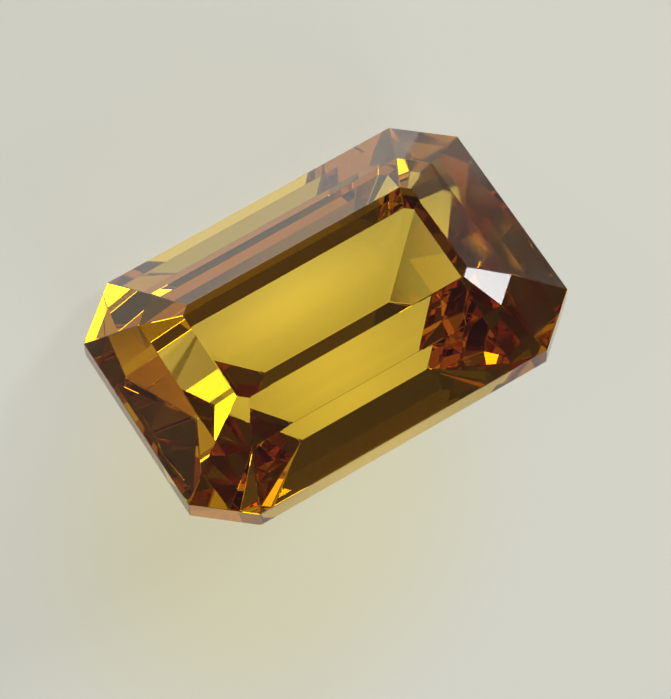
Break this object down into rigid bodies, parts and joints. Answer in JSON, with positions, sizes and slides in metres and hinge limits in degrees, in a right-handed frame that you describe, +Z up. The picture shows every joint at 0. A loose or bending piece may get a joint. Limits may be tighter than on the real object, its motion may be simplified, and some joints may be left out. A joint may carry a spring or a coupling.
{
  "type": "step-cut zircon gemstone",
  "caption": "Loose transparent honey-yellow gemstone, a long step cut with cut corners, lying on one of its lower facets.",
  "frame": {"origin": "on the surface that the stone lies on, below the middle of its box", "axes": "+X along the stone's length, +Z up; the table faces up and leans towards -Y"},
  "size_m": [0.009, 0.005, 0.0053],
  "materials": {
    "zircon": "polished transparent honey-yellow crystal, brown and olive where the light takes a long way through it"
  },
  "bodies": {
    "root": {"zircon": "zircon"}
  },
  "joints": []
}
